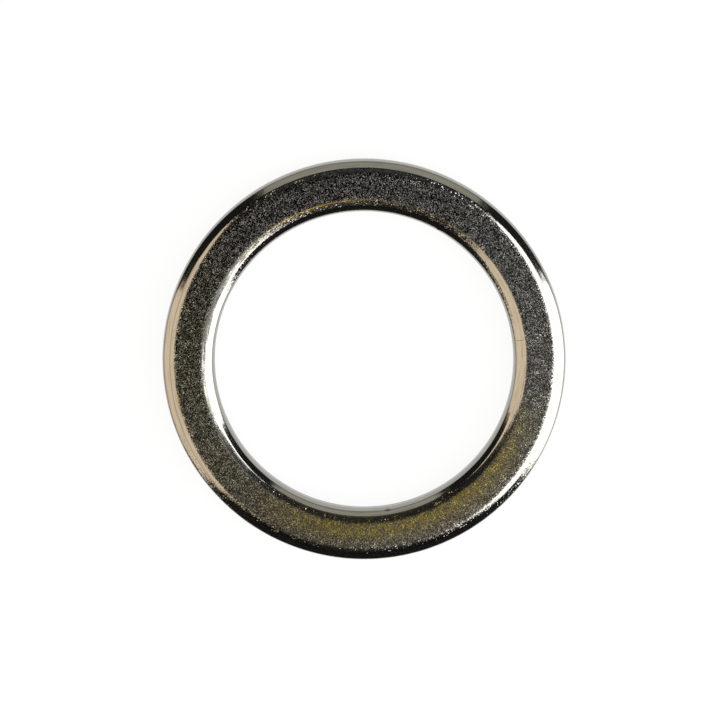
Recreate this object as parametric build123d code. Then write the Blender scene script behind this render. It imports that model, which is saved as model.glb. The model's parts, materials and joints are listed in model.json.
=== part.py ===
# Flat metal ring, closed all round and cast as one piece.
#
# Millimetres. +Z is the axis of the ring, and z = 0 is the surface it lies on.
# The section is drawn once, on the +X side, and revolved about Z.
import os

from build123d import *

# Overall sizes
inner_diameter = 30.0
band_width = 5.2
thickness = 4.0

# Walls of the hole and of the rim: a short upright land at mid-height, then a
# slight lean, the draft that lets the casting leave its mould
land_height = 1.1
wall_lean = 0.15

# Shoulders: two facets lead from each flat face down to the corner of the wall.
# The first is shallow, the second steep, and they meet in a crease.
corner_depth = 0.58
rim_shoulder = 1.25
rim_crease_inset = 0.8
rim_crease_depth = 0.16
hole_shoulder = 1.35
hole_crease_inset = 0.65
hole_crease_depth = 0.18

# Roundings, worn soft by tumbling and plating. The land and the crease turn so
# little that they are left sharp.
flat_edge_radius = 1.5
corner_radius = 0.2

middle = thickness / 2
inner_radius = inner_diameter / 2
outer_radius = inner_radius + band_width


def wall_to_flat(wall_radius, into_metal, shoulder, crease_inset, crease_depth):
    """Corners of one wall, from its land up to the flat face above mid-height.

    into_metal is +1 where the metal lies outside the wall, as at the hole, and
    -1 where it lies inside, as at the rim. Each corner is its distance from the
    axis, its height above the middle of the section, and its rounding.
    """
    return [
        (wall_radius, land_height / 2, 0),
        (wall_radius + into_metal * wall_lean, middle - corner_depth, corner_radius),
        (wall_radius + into_metal * crease_inset, middle - crease_depth, 0),
        (wall_radius + into_metal * shoulder, middle, 0),
    ]


def section_corners():
    """The closed outline: up the hole's wall, over the top face, and back below."""
    hole_side = wall_to_flat(inner_radius, 1, hole_shoulder, hole_crease_inset, hole_crease_depth)
    rim_side = wall_to_flat(outer_radius, -1, rim_shoulder, rim_crease_inset, rim_crease_depth)
    upper = hole_side + rim_side[::-1]
    lower = [(distance, -height, rounding) for distance, height, rounding in upper[::-1]]
    return upper + lower


with BuildPart() as ring:
    with BuildSketch(Plane.XZ):
        with BuildLine():
            outline = section_corners()
            FilletPolyline(
                [(distance, middle + height) for distance, height, rounding in outline],
                radius=[rounding for distance, height, rounding in outline],
                close=True,
            )
        make_face()
    revolve(axis=Axis.Z)
    # The flat faces are rounded last, so that they stay exactly flat
    top_edges = ring.faces().sort_by(Axis.Z)[-1].edges()
    bottom_edges = ring.faces().sort_by(Axis.Z)[0].edges()
    fillet(top_edges + bottom_edges, radius=flat_edge_radius)

os.makedirs("parts", exist_ok=True)
export_step(ring.part, "parts/ring.step")

flat_width = band_width - rim_shoulder - hole_shoulder
print(f"outside diameter {2 * outer_radius:.2f} mm, flat faces {flat_width:.2f} mm wide")
print(f"volume {ring.part.volume:.1f} mm3")
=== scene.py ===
# %% [markdown]
# # A flat metal ring
# The object is one closed ring of cast metal, plated with nickel and lightly worn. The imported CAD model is
# the fixed frame: it says how large the ring is and where it lies. Everything below is in metres, in that
# same frame, with +Z up and the ring lying on z = 0.

# %% Load the frame
import json
import math

import bmesh
import bpy
from mathutils import Matrix, Vector, noise


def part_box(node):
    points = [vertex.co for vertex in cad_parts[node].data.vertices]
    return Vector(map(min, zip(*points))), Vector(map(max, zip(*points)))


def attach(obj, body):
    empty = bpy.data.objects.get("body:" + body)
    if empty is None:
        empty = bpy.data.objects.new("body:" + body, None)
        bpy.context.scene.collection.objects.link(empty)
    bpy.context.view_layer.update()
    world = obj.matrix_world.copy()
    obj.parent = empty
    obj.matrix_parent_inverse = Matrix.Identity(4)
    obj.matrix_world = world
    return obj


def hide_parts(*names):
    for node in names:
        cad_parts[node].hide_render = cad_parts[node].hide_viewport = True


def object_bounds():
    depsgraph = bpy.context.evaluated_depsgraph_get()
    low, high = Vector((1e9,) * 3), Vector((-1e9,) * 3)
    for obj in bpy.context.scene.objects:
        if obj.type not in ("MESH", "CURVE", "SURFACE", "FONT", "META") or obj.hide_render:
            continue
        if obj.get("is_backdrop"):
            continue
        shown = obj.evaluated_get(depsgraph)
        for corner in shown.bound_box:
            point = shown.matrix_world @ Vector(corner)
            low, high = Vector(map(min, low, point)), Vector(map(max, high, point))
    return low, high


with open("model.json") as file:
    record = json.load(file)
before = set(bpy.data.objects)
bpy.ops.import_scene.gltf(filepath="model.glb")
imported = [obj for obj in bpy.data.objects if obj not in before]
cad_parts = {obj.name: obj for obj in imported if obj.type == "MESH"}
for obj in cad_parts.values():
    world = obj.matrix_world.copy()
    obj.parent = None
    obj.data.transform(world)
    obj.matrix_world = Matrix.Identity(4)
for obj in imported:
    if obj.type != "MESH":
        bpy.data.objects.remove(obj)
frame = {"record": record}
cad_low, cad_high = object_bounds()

MM = 0.001
print("box of the frame in mm:", [round(size / MM, 2) for size in cad_high - cad_low])

# %% [markdown]
# ## Sizes
# The outside diameter and the thickness come from the box of the CAD ring, and the radius of the hole from
# the mount that the record gives it. The rest are the sizes of the section. Two facets lead from each flat
# face down to the wall: a shallow one, then a steep one, with a crease between them.

# %% Sizes of the ring
ring_low, ring_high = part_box("ring")
rim_radius = (ring_high.x - ring_low.x) / 2
thickness = ring_high.z - ring_low.z
half = thickness / 2
middle = ring_low.z + half
mounts = {mount["name"]: mount for mount in frame["record"]["mounts"]}
hole_radius = mounts["eye"]["dims"]["r_mm"] * MM
print("radius of hole and rim in mm:", round(hole_radius / MM, 3), round(rim_radius / MM, 3))
print("thickness in mm:", round(thickness / MM, 3))

# %% Sizes of the section
land_height = 1.1 * MM
wall_lean = 0.15 * MM
corner_depth = 0.58 * MM
rim_shoulder = 1.25 * MM
rim_crease_inset = 0.80 * MM
rim_crease_depth = 0.16 * MM
hole_shoulder = 1.35 * MM
hole_crease_inset = 0.65 * MM
hole_crease_depth = 0.18 * MM
flat_edge_radius = 1.5 * MM
crease_radius = 0.4 * MM
corner_radius = 0.20 * MM
land_edge_radius = 0.3 * MM
flat_width = rim_radius - hole_radius - rim_shoulder - hole_shoulder
print("flat face wide in mm:", round(flat_width / MM, 2))

# %% [markdown]
# ## The section
# A casting has no sharp corner: the tumbling before it is plated softens each one. The section is drawn as a
# closed wire of straight sides, and each of its corners is then bevelled as a vertex. A vertex bevel is told
# how far it reaches along the sides, which is the radius times the tangent of half the turn between them.
# The corner above the wall is tight, and the edge of the flat face is soft, so that the face seems to melt
# away.

# %% Corners of the section


def wall_to_flat(wall_radius, into_metal, shoulder, crease_inset, crease_depth):
    """Corners from the land of one wall up to the flat face: each is a distance from the axis, a height
    above the middle of the section, and the radius of its rounding."""
    return [
        (wall_radius, land_height / 2, land_edge_radius),
        (wall_radius + into_metal * wall_lean, half - corner_depth, corner_radius),
        (wall_radius + into_metal * crease_inset, half - crease_depth, crease_radius),
        (wall_radius + into_metal * shoulder, half, flat_edge_radius),
    ]


upper = wall_to_flat(hole_radius, 1, hole_shoulder, hole_crease_inset, hole_crease_depth)
upper += wall_to_flat(rim_radius, -1, rim_shoulder, rim_crease_inset, rim_crease_depth)[::-1]
outline = upper + [(distance, -height, rounding) for distance, height, rounding in upper[::-1]]
print("corners of the section:", len(outline))

# %% Draw it and round its corners
rounding_steps = 5
ring_mesh = bmesh.new()
corners = [ring_mesh.verts.new((distance, 0, middle + height)) for distance, height, rounding in outline]
roundings = [rounding for distance, height, rounding in outline]
befores = corners[-1:] + corners[:-1]
afters = corners[1:] + corners[:1]

reaches = []
for before, corner, after, rounding in zip(befores, corners, afters, roundings):
    ring_mesh.edges.new((corner, after))
    turn = (corner.co - before.co).angle(after.co - corner.co)
    reaches.append(rounding * math.tan(turn / 2))
for corner, reach in zip(corners, reaches):
    bmesh.ops.bevel(ring_mesh, geom=[corner], offset=reach, offset_type="OFFSET", segments=rounding_steps,
                    profile=0.5, affect="VERTICES", material=-1)
print("roundings of the upper half reach, in mm:", [round(reach / MM, 3) for reach in reaches[:len(upper)]])

# %% Put points along its sides
point_spacing = 0.18 * MM
for edge in list(ring_mesh.edges):
    cuts = round(edge.calc_length() / point_spacing) - 1
    if cuts > 0:
        bmesh.ops.subdivide_edges(ring_mesh, edges=[edge], cuts=cuts)
print("points round the section:", len(ring_mesh.verts))

# %% [markdown]
# ## Turn it into a ring
# One spin of several hundred steps would do, but each step of a spin looks at the whole mesh again, so it
# soon grows slow. An eighth of the ring is spun, and then copied round seven times. The seams are closed by
# merging the points that meet there, and the normals are set afresh to face outwards.

# %% Spin an eighth, then copy it round
axis = (0, 0, 1)
copies = 7
eighth = 2 * math.pi / (copies + 1)
steps_in_eighth = 72
merge_distance = 0.002 * MM
wanted_points = len(ring_mesh.verts) * (copies + 1) * steps_in_eighth

section = ring_mesh.verts[:] + ring_mesh.edges[:]
bmesh.ops.spin(ring_mesh, geom=section, cent=(0, 0, 0), axis=axis, angle=eighth, steps=steps_in_eighth)
sector = ring_mesh.verts[:] + ring_mesh.edges[:] + ring_mesh.faces[:]
bmesh.ops.spin(ring_mesh, geom=sector, cent=(0, 0, 0), axis=axis, angle=copies * eighth, steps=copies,
               use_duplicate=True)
bmesh.ops.remove_doubles(ring_mesh, verts=ring_mesh.verts, dist=merge_distance)
bmesh.ops.recalc_face_normals(ring_mesh, faces=ring_mesh.faces)

open_edges = sum(not edge.is_manifold for edge in ring_mesh.edges)
print("points:", len(ring_mesh.verts), "wanted:", wanted_points, "open edges:", open_edges)

# %% [markdown]
# ## Unevenness
# Cast and tumbled metal is never quite true, and in a mirror finish that shows as reflections with wavering
# edges. A bump in the material could do it, but the mesh alone would then be a perfect ring. So every point
# is moved a few thousandths of a millimetre along its normal, by a slow noise and a quicker one. A small nub
# of plating stands on the edge of the hole.

# %% Move the points
slow_width = 1.1 * MM
slow_move = 0.006 * MM
quick_width = 0.4 * MM
quick_move = 0.0015 * MM
nub_angle = math.radians(61)
nub_inset = 0.12 * MM
nub_reach = 0.16 * MM
nub_height = 0.10 * MM

nub_place = Vector((math.cos(nub_angle), math.sin(nub_angle), 0)) * (hole_radius + nub_inset)
nub_place.z = middle + half - corner_depth
ring_mesh.normal_update()
moves = []
for vert in ring_mesh.verts:
    slow = slow_move * noise.noise(vert.co / slow_width)
    quick = quick_move * noise.noise(vert.co / quick_width)
    nub = nub_height * max(0.0, 1 - (vert.co - nub_place).length / nub_reach)
    moves.append(slow + quick + nub)
for vert, move in zip(ring_mesh.verts, moves):
    vert.co += vert.normal * move
print("moved by", round(min(moves) / MM, 4), "to", round(max(moves) / MM, 4), "mm")

# %% Make it an object
for face in ring_mesh.faces:
    face.smooth = True
ring_data = bpy.data.meshes.new("ring_plated")
ring_mesh.to_mesh(ring_data)
ring_mesh.free()
ring = bpy.data.objects.new("ring_plated", ring_data)
bpy.context.scene.collection.objects.link(ring)
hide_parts("ring")
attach(ring, "root")
print("faces of the ring:", len(ring_data.polygons))

# %% [markdown]
# ## Helpers for colours and nodes
# Colours are written as sRGB hex, and one function turns them to linear. Another adds a node, with its
# settings and its inputs. A Math node's inputs all share one name, so they are counted from 0. A Mix node
# counts too: its factor is 0, two numbers to mix are 2 and 3, and two colours are 6 and 7.

# %% Colours and nodes


def from_hex(code):
    """An sRGB hex colour as linear RGBA."""
    parts = [int(code[start:start + 2], 16) / 255 for start in (1, 3, 5)]
    return [part / 12.92 if part <= 0.04045 else ((part + 0.055) / 1.055) ** 2.4 for part in parts] + [1]


def add(material, kind, inputs=(), **settings):
    """Adds one node with its settings and gives it back. Each input is a value, an output to link, or a
    node, and then the first of its outputs in use is linked."""
    node = material.node_tree.nodes.new(kind)
    for name, value in settings.items():
        setattr(node, name, value)
    for name, value in dict(inputs).items():
        if isinstance(value, bpy.types.Node):
            value = next(output for output in value.outputs if output.enabled)
        if isinstance(value, bpy.types.NodeSocket):
            material.node_tree.links.new(value, node.inputs[name])
        else:
            node.inputs[name].default_value = value
    return node


def new_material(name):
    """A material with an empty node tree."""
    material = bpy.data.materials.new(name)
    material.use_nodes = True
    material.node_tree.nodes.clear()
    return material


print("middle grey, #808080, is linear", round(from_hex("#808080")[0], 3))

# %% [markdown]
# ## Nickel plate
# The ring is a zinc die casting, tumbled and then plated with bright nickel: a warm grey metal, mirror bright
# on the shoulders. The flat faces were never polished, so under the plating they keep a fine grain that
# sparkles, with dark grains where dirt has settled; their brightest grains are painted glints. The walls are
# duller and carry painted shade, and fine lines run round them and the shoulders, as the tumbling left them.
#
# The zones could be materials of their own, but then each border would follow the edges of the mesh. One
# material that reads Object coordinates gives them soft borders: the height above or below the middle of the
# thickness tells face, shoulder and wall apart.

# %% Height and distance from the axis
nickel = new_material("bright nickel plate over die casting")
place = add(nickel, "ShaderNodeTexCoord").outputs["Object"]
axes = add(nickel, "ShaderNodeSeparateXYZ", {"Vector": place})
above_middle = add(nickel, "ShaderNodeMath", {0: axes.outputs["Z"], 1: middle}, operation="SUBTRACT")
from_middle = add(nickel, "ShaderNodeMath", {0: above_middle}, operation="ABSOLUTE")
flat_place = add(nickel, "ShaderNodeCombineXYZ", {"X": axes.outputs["X"], "Y": axes.outputs["Y"]})
from_axis = add(nickel, "ShaderNodeVectorMath", {0: flat_place}, operation="LENGTH")
outwards = add(nickel, "ShaderNodeVectorMath", {0: flat_place}, operation="NORMALIZE")
print("nodes that measure the place:", len(nickel.node_tree.nodes))

# %% Where each zone is
# Each zone is 1 inside and 0 outside, with a soft border between two heights.
zones = {}
for zone, low, high, at_low, at_high in (
        ("face", half - 0.05 * MM, half - 0.01 * MM, 0.0, 1.0),
        ("first facet", half - 0.22 * MM, half - 0.12 * MM, 0.0, 1.0),
        ("wall", half - corner_depth, half - corner_depth + 0.13 * MM, 1.0, 0.0)):
    zones[zone] = add(nickel, "ShaderNodeMapRange", {
        "Value": from_middle, "From Min": low, "From Max": high, "To Min": at_low, "To Max": at_high},
        interpolation_type="SMOOTHSTEP")
    print(zone, "has its border from", round(low / MM, 2), "to", round(high / MM, 2), "mm off the middle")
off_face = add(nickel, "ShaderNodeMath", {0: 1.0, 1: zones["face"]}, operation="SUBTRACT")

# %% [markdown]
# ## Grain
# The flat faces glint one grain at a time. A noise through a Bump node would give soft ripples, so each cell
# of a Voronoi pattern is taken as a small facet with a tilt of its own, and it catches a light of its own.
# Slow patches are rougher or smoother. Real grain of about 0.05 mm is too fine to show, so it is drawn
# 0.08 mm wide.

# %% Grains and patches
grain_width = 0.08 * MM  # coarser than the real 0.05 mm, which would not show
patch_width = 0.8 * MM
grains = add(nickel, "ShaderNodeTexVoronoi", {"Vector": place, "Scale": 1 / grain_width})
own_tilt = grains.outputs["Color"]
own_number = add(nickel, "ShaderNodeSeparateXYZ", {"Vector": own_tilt}).outputs["Z"]
patch_noise = add(nickel, "ShaderNodeTexNoise", {"Vector": place, "Scale": 1 / patch_width, "Detail": 3.0})
patches = add(nickel, "ShaderNodeMapRange", {
    "Value": patch_noise, "From Min": 0.35, "From Max": 0.65, "To Min": 0.55, "To Max": 1.2})
print("grains across the flat face:", round(flat_width / grain_width))

# %% Where the grain is
# The flat faces have it all over. On the first facet of the shoulders most of it is left towards +Y and -Y,
# where the tumbling wore it least, and below that facet where the metal faces -Y.
most_on_first_facet = 0.6
along_y = add(nickel, "ShaderNodeSeparateXYZ", {"Vector": outwards}).outputs["Y"]
along_y = add(nickel, "ShaderNodeMath", {0: along_y}, operation="ABSOLUTE")
little_worn = add(nickel, "ShaderNodeMapRange", {
    "Value": along_y, "From Min": 0.65, "From Max": 0.90, "To Min": 0.12, "To Max": 1.0},
    interpolation_type="SMOOTHSTEP")
first_share = add(nickel, "ShaderNodeMath", {0: little_worn, 1: most_on_first_facet}, operation="MULTIPLY")
true_normal = add(nickel, "ShaderNodeNewGeometry").outputs["Normal"]
faces_y = add(nickel, "ShaderNodeSeparateXYZ", {"Vector": true_normal}).outputs["Y"]
lower_share = add(nickel, "ShaderNodeMapRange", {
    "Value": faces_y, "From Min": -0.35, "From Max": 0.0, "To Min": 0.34, "To Max": 0.06},
    interpolation_type="SMOOTHSTEP")
grain_share = add(nickel, "ShaderNodeMix", {0: zones["first facet"], 2: lower_share, 3: first_share})
grain_share = add(nickel, "ShaderNodeMath", {0: grain_share, 1: zones["face"]}, operation="MAXIMUM")
print("share of the grain left on the first facet, at most:", most_on_first_facet)

# %% Tilt of each grain
# About one grain in seven leans farther over than the rest, and most of all on the shoulders.
grain_tilt = 0.22
leans_from = 0.86
leans = add(nickel, "ShaderNodeMath", {0: own_number, 1: leans_from}, operation="GREATER_THAN")
farther = add(nickel, "ShaderNodeMapRange", {"Value": zones["face"], "To Min": 2.5, "To Max": 0.2})
lean = add(nickel, "ShaderNodeMath", {0: leans, 1: farther, 2: 1.0}, operation="MULTIPLY_ADD")
grain_size = grain_tilt
for share in (grain_share, patches, lean):
    grain_size = add(nickel, "ShaderNodeMath", {0: grain_size, 1: share}, operation="MULTIPLY")
grain = add(nickel, "ShaderNodeVectorMath", {0: own_tilt, 1: (0.5, 0.5, 0.5)}, operation="SUBTRACT")
grain = add(nickel, "ShaderNodeVectorMath", {0: grain, "Scale": grain_size}, operation="SCALE")
print("usual tilt of a grain, at most:", round(math.degrees(math.atan(grain_tilt / 2)), 1), "degrees")

# %% [markdown]
# ## Lines round the ring
# The tumbling left fine lines on the shoulders and the walls. An anisotropic gloss would smear the
# reflections evenly, and no line would show for itself. So a noise that is fine across the section and long
# around the ring tilts the surface inwards and outwards. It has four dimensions: distance from the axis and
# height, both fine, and the direction outwards, which is slow.

# %% Lines
line_width = 0.12 * MM
line_stretch = 7.0
line_lean = 0.10
slow_place = add(nickel, "ShaderNodeVectorMath", {0: outwards, "Scale": line_stretch}, operation="SCALE")
slow_place = add(nickel, "ShaderNodeSeparateXYZ", {"Vector": slow_place})
fine_distance = add(nickel, "ShaderNodeMath", {0: from_axis, 1: line_width}, operation="DIVIDE")
fine_height = add(nickel, "ShaderNodeMath", {0: axes.outputs["Z"], 1: line_width}, operation="DIVIDE")
line_place = add(nickel, "ShaderNodeCombineXYZ", {
    "X": fine_distance, "Y": slow_place.outputs["X"], "Z": slow_place.outputs["Y"]})
lines = add(nickel, "ShaderNodeTexNoise", {
    "Vector": line_place, "W": fine_height, "Scale": 1.0, "Detail": 2.0}, noise_dimensions="4D")
print("a line is about", round(rim_radius / line_stretch / MM, 1), "mm long at the rim")

# %% Tilt the surface
# Grain and lines are added to the true normal, and the sum is brought back to a length of 1.
line_tilt = add(nickel, "ShaderNodeMath", {0: lines, 1: 0.5}, operation="SUBTRACT")
for share in (off_face, line_lean):
    line_tilt = add(nickel, "ShaderNodeMath", {0: line_tilt, 1: share}, operation="MULTIPLY")
furrow = add(nickel, "ShaderNodeVectorMath", {0: outwards, "Scale": line_tilt}, operation="SCALE")
tilted = true_normal
for tilt_by in (grain, furrow):
    tilted = add(nickel, "ShaderNodeVectorMath", {0: tilted, 1: tilt_by}, operation="ADD")
tilted = add(nickel, "ShaderNodeVectorMath", {0: tilted}, operation="NORMALIZE")
print("tilt of a line, at most:", round(math.degrees(math.atan(line_lean / 2)), 1), "degrees")

# %% [markdown]
# ## Colours of the plate
# Bright nickel is a light grey with a little yellow in it. The lines are darker, because dirt fills them. The
# walls are darker still: painted shade, which stands in for a shadowed floor in their reflections. A darker
# line runs along the crease of the rim. The base colour of a metal is the tint of its reflections, so each of
# these is a mix of base colours.

# %% Plate, lines and walls
plate_grey = "#CCCAC3"
plate_line_grey = "#A29E92"
# The wall greys are painted shade, darker than the plate, for a shadowed floor that the walls would mirror.
wall_painted_shade_grey = "#908E86"
wall_line_painted_shade_grey = "#6F6B60"
line_shade = add(nickel, "ShaderNodeMapRange", {
    "Value": lines, "From Min": 0.45, "From Max": 0.70, "To Min": 0.0, "To Max": 0.6},
    interpolation_type="SMOOTHSTEP")
line_shade = add(nickel, "ShaderNodeMath", {0: line_shade, 1: off_face}, operation="MULTIPLY")
plate = add(nickel, "ShaderNodeMix", {
    0: line_shade, 6: from_hex(plate_grey), 7: from_hex(plate_line_grey)}, data_type="RGBA")
painted_shade_wall_plate = add(nickel, "ShaderNodeMix", {
    0: line_shade, 6: from_hex(wall_painted_shade_grey), 7: from_hex(wall_line_painted_shade_grey)}, data_type="RGBA")
plate = add(nickel, "ShaderNodeMix", {0: zones["wall"], 6: plate, 7: painted_shade_wall_plate}, data_type="RGBA")
print("colours of plate and walls, with their lines:", plate_grey, plate_line_grey, wall_painted_shade_grey, wall_line_painted_shade_grey)

# %% Darker line along the crease of the rim
crease_line_grey = "#8A877E"
crease_line_reach = 0.04 * MM
crease_height = half - rim_crease_depth
band_middle = (hole_radius + rim_radius) / 2
off_crease = add(nickel, "ShaderNodeMath", {0: from_middle, 1: crease_height}, operation="SUBTRACT")
off_crease = add(nickel, "ShaderNodeMath", {0: off_crease}, operation="ABSOLUTE")
crease = add(nickel, "ShaderNodeMapRange", {
    "Value": off_crease, "From Min": 0.0, "From Max": crease_line_reach, "To Min": 0.7, "To Max": 0.0},
    interpolation_type="SMOOTHSTEP")
rim_side = add(nickel, "ShaderNodeMath", {0: from_axis, 1: band_middle}, operation="GREATER_THAN")
crease = add(nickel, "ShaderNodeMath", {0: crease, 1: rim_side}, operation="MULTIPLY")
plate = add(nickel, "ShaderNodeMix", {0: crease, 6: plate, 7: from_hex(crease_line_grey)}, data_type="RGBA")
print("the darker line lies", round(crease_height / MM, 2), "mm off the middle")

# %% [markdown]
# ## Colours of the grain
# Dirt has left the low grains dark. They are painted nearly black away from -Y and lighter towards it,
# painted light that stands in for a glow over that side of the face. The brightest grains are painted glints.
# Towards -Y a brassy tinge, a painted reflection of warm light, comes and goes in patches and is strongest
# near the hole. Towards -X there is a fainter tinge of khaki. Round the ring these could follow the angle,
# but an angle jumps where it starts anew. How far the direction outwards agrees with a chosen one, its dot
# product, has no such seam.

# %% The brassy tinge, a painted warm reflection
# The brassy tinge towards -Y is a painted reflection of warm light, not a colour of the metal.
warm_reflection_angle = math.radians(289)
warm_reflection_direction = (math.cos(warm_reflection_angle), math.sin(warm_reflection_angle), 0)
towards_warm_reflection = add(nickel, "ShaderNodeVectorMath", {0: outwards, 1: warm_reflection_direction},
                    operation="DOT_PRODUCT")
# Towards -Y the dark grains are painted lighter, painted light for a glow over that side of the face.
painted_light_side = add(nickel, "ShaderNodeMapRange", {"Value": towards_warm_reflection, "From Min": -1.0, "From Max": 1.0},
            interpolation_type="SMOOTHSTEP")
painted_warm_reflection = add(nickel, "ShaderNodeMapRange", {"Value": towards_warm_reflection, "From Min": 0.42, "From Max": 0.92},
            interpolation_type="SMOOTHSTEP")
near_hole = add(nickel, "ShaderNodeMapRange", {
    "Value": from_axis, "From Min": 17.0 * MM, "From Max": 18.7 * MM, "To Min": 1.0, "To Max": 0.15},
    interpolation_type="SMOOTHSTEP")
warm_reflection_patches = add(nickel, "ShaderNodeMapRange", {
    "Value": patch_noise, "From Min": 0.35, "From Max": 0.60, "To Min": 0.35, "To Max": 1.05})
for share in (near_hole, warm_reflection_patches):
    painted_warm_reflection = add(nickel, "ShaderNodeMath", {0: painted_warm_reflection, 1: share}, operation="MULTIPLY")
print("the brass is strongest towards", [round(part, 2) for part in warm_reflection_direction])

# %% Light and dark grains
# The dark grains hold dirt. The darkest grey is that dirt with painted shade away from -Y, the next the same
# dirt with painted light towards -Y.
dirt_in_shade_grey = "#0C0B0A"
dirt_in_painted_light_grey = "#5E5C56"
# The brightest grey, lighter than the plate itself, paints glints on single grains.
painted_glint_grey = "#F0EFEA"
# The two brassy colours paint the warm reflection onto dark and light grains.
dark_warm_reflection = "#A3965A"
light_warm_reflection = "#E6D286"
dirt_and_glint_shade = add(nickel, "ShaderNodeMapRange", {"Value": own_number, "From Min": 0.36, "From Max": 1.0},
                  interpolation_type="SMOOTHSTEP")
dirt_and_glint_shade = add(nickel, "ShaderNodeMath", {0: dirt_and_glint_shade, 1: patches}, operation="MULTIPLY",
                  use_clamp=True)
dark_grain = add(nickel, "ShaderNodeMix", {
    0: painted_light_side, 6: from_hex(dirt_in_shade_grey), 7: from_hex(dirt_in_painted_light_grey)}, data_type="RGBA")
dark_grain = add(nickel, "ShaderNodeMix", {
    0: painted_warm_reflection, 6: dark_grain, 7: from_hex(dark_warm_reflection)}, data_type="RGBA")
painted_glint_grain = add(nickel, "ShaderNodeMix", {
    0: painted_warm_reflection, 6: from_hex(painted_glint_grey), 7: from_hex(light_warm_reflection)}, data_type="RGBA")
grain_colour = add(nickel, "ShaderNodeMix", {0: dirt_and_glint_shade, 6: dark_grain, 7: painted_glint_grain}, data_type="RGBA")
print("colours of the grains:", dirt_in_shade_grey, dirt_in_painted_light_grey, painted_glint_grey, dark_warm_reflection, light_warm_reflection)

# %% The khaki side
khaki_tinge = "#FFFCEA"
khaki_angle = math.radians(200)
khaki_direction = (math.cos(khaki_angle), math.sin(khaki_angle), 0)
khaki = add(nickel, "ShaderNodeVectorMath", {0: outwards, 1: khaki_direction}, operation="DOT_PRODUCT")
khaki = add(nickel, "ShaderNodeMapRange", {"Value": khaki, "From Min": 0.3, "From Max": 0.9},
            interpolation_type="SMOOTHSTEP")
grain_colour = add(nickel, "ShaderNodeMix", {
    0: khaki, 6: grain_colour, 7: from_hex(khaki_tinge)}, data_type="RGBA", blend_type="MULTIPLY")
print("the khaki is strongest towards", [round(part, 2) for part in khaki_direction])

# %% Lay the grain over the plate
# The same grains, fainter, go on over the first facet of the shoulders.
faint_grain = add(nickel, "ShaderNodeMapRange", {
    "Value": from_middle, "From Min": half - 0.20 * MM, "From Max": half - 0.14 * MM, "To Max": 0.65},
    interpolation_type="SMOOTHSTEP")
faint_grain = add(nickel, "ShaderNodeMath", {0: faint_grain, 1: little_worn}, operation="MULTIPLY")
grainy = add(nickel, "ShaderNodeMath", {0: faint_grain, 1: zones["face"]}, operation="MAXIMUM")
plate = add(nickel, "ShaderNodeMix", {0: grainy, 6: plate, 7: grain_colour}, data_type="RGBA")
print("nodes in use before the marks:", len(nickel.node_tree.nodes))

# %% [markdown]
# ## Small marks
# The ring has brown smudges and reddish hairlines that follow it, a golden line along the edge of the hole
# that is a painted reflection of warm light, and a scratch across. They could be drawn on an image, but a few
# nodes for each stay sharp however near the eye comes. Each mark is an oval in two measures: how far a point
# is along the ring, and how far off the mark's distance from the axis. The first is measured on a straight
# line, which crosses the ring twice, so the far side is left out.

# %% Marks
# Each has its angle round the ring in degrees, its distance from the axis and its reach along the ring and
# across it in millimetres, its strength and its colour.
marks = (
    ("smudge", 279, 15.2, 0.35, 0.13, 0.65, "#4A3A2A"),
    ("second smudge", 208, 15.3, 0.30, 0.12, 0.55, "#4A3A2A"),
    ("red line", 292, 19.3, 2.0, 0.05, 0.6, "#8A4A35"),
    ("second red line", 115, 15.5, 0.9, 0.05, 0.6, "#8A4A35"),
    # The golden edge is a painted reflection of warm light along the edge of the hole, not a colour of the
    # metal.
    ("painted golden reflection", 106, 16.2, 7.0, 0.08, 0.75, "#FFD860"),
    ("scratch", 8, 15.65, 0.04, 0.6, 0.7, "#5E5A52"))
for mark, angle, distance, along, across, strength, code in marks:
    towards = Vector((math.cos(math.radians(angle)), math.sin(math.radians(angle)), 0))
    beside = Vector((-towards.y, towards.x, 0)) / (along * MM)
    run = add(nickel, "ShaderNodeVectorMath", {0: flat_place, 1: beside}, operation="DOT_PRODUCT")
    off_line = add(nickel, "ShaderNodeMapRange", {
        "Value": from_axis, "From Min": distance * MM, "From Max": (distance + across) * MM}, clamp=False)
    oval = add(nickel, "ShaderNodeCombineXYZ", {"X": run, "Y": off_line})
    oval = add(nickel, "ShaderNodeVectorMath", {0: oval}, operation="LENGTH")
    shade = add(nickel, "ShaderNodeMapRange", {
        "Value": oval, "From Min": 0.5, "From Max": 1.2, "To Min": strength, "To Max": 0.0},
        interpolation_type="SMOOTHSTEP")
    near_side = add(nickel, "ShaderNodeVectorMath", {0: flat_place, 1: towards}, operation="DOT_PRODUCT")
    near_side = add(nickel, "ShaderNodeMath", {0: near_side, 1: 0.0}, operation="GREATER_THAN")
    shade = add(nickel, "ShaderNodeMath", {0: shade, 1: near_side}, operation="MULTIPLY")
    plate = add(nickel, "ShaderNodeMix", {0: shade, 6: plate, 7: from_hex(code)}, data_type="RGBA")
    print(mark, "at", angle, "degrees")

# %% [markdown]
# ## Finish
# Polished plate is nearly a mirror, and a little softer than chrome. The skin of the casting under the flat
# faces is less smooth, and the walls are the dullest.

# %% Finish
plate_roughness = 0.12
face_roughness = 0.22
wall_roughness = 0.25
roughness = add(nickel, "ShaderNodeMapRange", {
    "Value": zones["face"], "To Min": plate_roughness, "To Max": face_roughness})
on_wall = add(nickel, "ShaderNodeMath", {0: zones["wall"], 1: wall_roughness}, operation="MULTIPLY")
roughness = add(nickel, "ShaderNodeMath", {0: roughness, 1: on_wall}, operation="MAXIMUM")
shader = add(nickel, "ShaderNodeBsdfPrincipled", {
    "Base Color": plate, "Metallic": 1.0, "Roughness": roughness, "Normal": tilted})
add(nickel, "ShaderNodeOutputMaterial", {"Surface": shader})
ring.data.materials.append(nickel)
print("nodes of the nickel plate:", len(nickel.node_tree.nodes))

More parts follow.
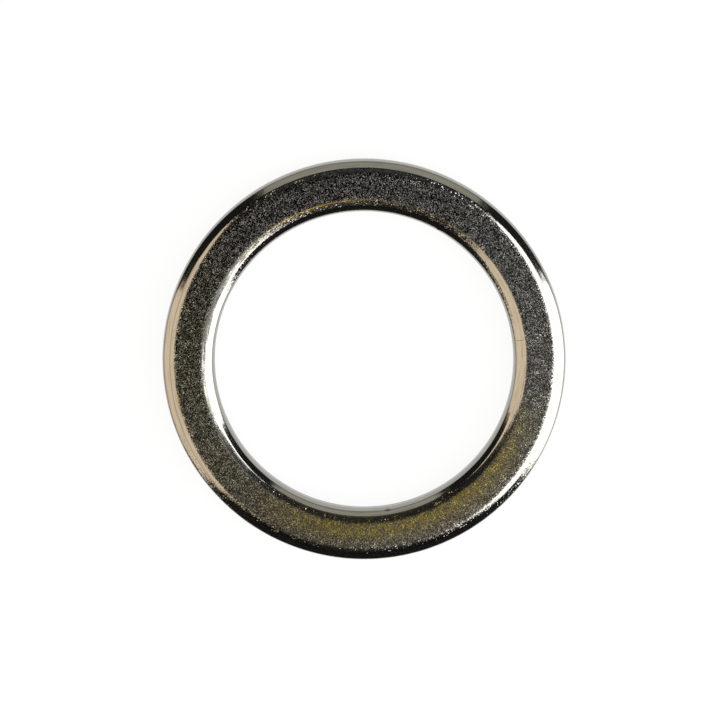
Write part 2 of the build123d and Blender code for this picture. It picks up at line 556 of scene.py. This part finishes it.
# %% [markdown]
# ## Floor
# The ring lies on a wide sheet of white paper. Lit paper comes out grey unless the lamps are strong, and
# strong lamps would bleach the ring. So what is seen of it, straight or in the metal, is mostly its own
# plain white. The rest is matt paper under the lamp, which keeps the soft shadow under the ring. The sheet
# lies a hundredth of a millimetre low, because the uneven underside would poke through it.

# %% Sheet
floor_radius = 20
floor_drop = 0.01 * MM
floor_mesh = bmesh.new()
bmesh.ops.create_circle(floor_mesh, cap_ends=True, segments=96, radius=floor_radius,
                        matrix=Matrix.Translation((0, 0, -floor_drop)))
floor_data = bpy.data.meshes.new("floor")
floor_mesh.to_mesh(floor_data)
floor_mesh.free()
floor = bpy.data.objects.new("floor", floor_data)
bpy.context.scene.collection.objects.link(floor)
floor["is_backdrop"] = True
print("floor reaches out to", floor_radius, "m")

# %% White paper
plain_white = 0.9
paper = new_material("white paper")
rays = add(paper, "ShaderNodeLightPath")
seen = 0.0
for ray in ("Is Camera Ray", "Is Glossy Ray", "Is Transmission Ray"):
    seen = add(paper, "ShaderNodeMath", {0: seen, 1: rays.outputs[ray]}, operation="MAXIMUM")
white_share = add(paper, "ShaderNodeMath", {0: seen, 1: plain_white}, operation="MULTIPLY")
matt = add(paper, "ShaderNodeBsdfDiffuse", {"Color": from_hex("#FAFAFA")})
white = add(paper, "ShaderNodeEmission", {"Color": from_hex("#FFFFFF"), "Strength": 1.0})
both = add(paper, "ShaderNodeMixShader", {0: white_share, 1: matt, 2: white})
add(paper, "ShaderNodeOutputMaterial", {"Surface": both})
floor.data.materials.append(paper)
print("nodes of the paper:", len(paper.node_tree.nodes))

# %% [markdown]
# ## Studio
# Polished metal shows its surroundings, so the light is a set of glowing cards: a white softbox on one side,
# a warm card on the other, a low grey wall and a dim high one behind, and dim ceilings over the flat face. A
# small amber lamp close by gives the golden lines. Between the cards it stays dark, and that gives the metal
# its black bands. Area lights would glow as well, but a mesh can also be flared.

# %% Cards


def card(name, azimuth, zenith, width, height, code, strength, distance=0.25, roll=0, flare=0):
    """A glowing card that faces the ring. Its azimuth runs from +X towards +Y, its zenith is the angle from
    straight up, and the angles are in degrees. A flared card is wider at the top."""
    azimuth, zenith = math.radians(azimuth), math.radians(zenith)
    across = math.sin(zenith)
    towards = Vector((across * math.cos(azimuth), across * math.sin(azimuth), math.cos(zenith)))
    turn = towards.to_track_quat("Z", "Y").to_matrix().to_4x4() @ Matrix.Rotation(math.radians(roll), 4, "Z")
    sheet = bmesh.new()
    bmesh.ops.create_grid(sheet, x_segments=1, y_segments=1, size=0.5)
    for vert in sheet.verts:
        vert.co.x *= 1 + flare * vert.co.y
    sheet.transform(Matrix.Translation(towards * distance) @ turn @ Matrix.Diagonal((width, height, 1, 1)))
    lowest = min(vert.co.z for vert in sheet.verts)
    card_data = bpy.data.meshes.new(name)
    sheet.to_mesh(card_data)
    sheet.free()
    glow = new_material(name)
    light = add(glow, "ShaderNodeEmission", {"Color": from_hex(code), "Strength": strength})
    add(glow, "ShaderNodeOutputMaterial", {"Surface": light})
    card_data.materials.append(glow)
    made = bpy.data.objects.new(name, card_data)
    bpy.context.scene.collection.objects.link(made)
    made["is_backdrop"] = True
    made.visible_camera = False
    made.visible_shadow = False
    print(name, "reaches down to", round(lowest / MM), "mm")


# Each card has a name, an azimuth and a zenith, a width and a height in metres, a colour and a strength.
card("softbox", -12, 55.5, 0.55, 0.687, "#FFFFFF", 2.4, distance=0.5, flare=0.34)
card("warm card", 192, 50, 0.53, 0.555, "#FFEBD1", 1.0, distance=0.5, roll=12)
card("grey wall", 87, 73, 0.34, 0.153, "#F4EFE2", 0.43)
card("high wall", 88, 34, 0.19, 0.075, "#F4F2EA", 0.10)
card("ceiling", 90, 0, 0.10, 0.62, "#F6F4EE", 0.04)
card("near ceiling", -58, 13, 0.12, 0.12, "#F6F5F0", 0.28, distance=0.24)
card("amber lamp", -75, 19.6, 0.022, 0.0035, "#FFD978", 0.9, distance=0.106)

# %% World and top light
# The metal doesn't mirror the top light, which is there for the paper and the shadow on it.
world_strength = 0.012
world = bpy.data.worlds.new("dark studio")
world.use_nodes = True
background = world.node_tree.nodes["Background"]
background.inputs["Color"].default_value = from_hex("#FFFFFF")
background.inputs["Strength"].default_value = world_strength
bpy.context.scene.world = world

lamp = bpy.data.lights.new("top light", "AREA")
lamp.shape = "DISK"
lamp.size = 0.8
lamp.energy = 6
top_light = bpy.data.objects.new("top light", lamp)
top_light.location = (0, 0, 0.9)
top_light.visible_glossy = False
top_light.visible_camera = False
bpy.context.scene.collection.objects.link(top_light)
print("top light of", lamp.energy, "watts")

# %% [markdown]
# ## Camera
# The photograph looks almost straight down, with the camera 7 degrees towards +Y. A pixel is 0.1 mm at the
# ring, and the ring lies 4 pixels to the right of the middle of the frame, so the lens is shifted.

# %% Camera
frame_width = 720
pixel = 0.1004 * MM
pixels_right = 4.0
camera_tilt = math.radians(7)
camera_distance = 0.3
sensor_width = 36
camera_data = bpy.data.cameras.new("camera")
camera_data.sensor_width = sensor_width
camera_data.lens = sensor_width * camera_distance / (frame_width * pixel)
camera_data.clip_start = 0.05
camera_data.clip_end = 50
camera_data.shift_x = -pixels_right / frame_width
camera = bpy.data.objects.new("camera", camera_data)
back = Vector((0, math.sin(camera_tilt), math.cos(camera_tilt)))
camera.location = Vector((0, 0, middle)) + back * camera_distance
camera.rotation_euler = (-camera_tilt, 0, 0)
bpy.context.scene.collection.objects.link(camera)
bpy.context.scene.camera = camera
bpy.context.scene.view_settings.view_transform = "Standard"
print("lens in mm:", round(camera_data.lens, 1))

# %% [markdown]
# ## Sizes of what shows
# The box of all that shows is measured again, and its difference from that of the CAD ring is printed. The
# two differ only by the few thousandths of a millimetre that the unevenness adds.

# %% Sizes of what shows
low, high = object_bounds()
growth = (high - low) - (cad_high - cad_low)
print("visual box minus CAD box in mm:", [round(size / MM, 3) for size in growth])
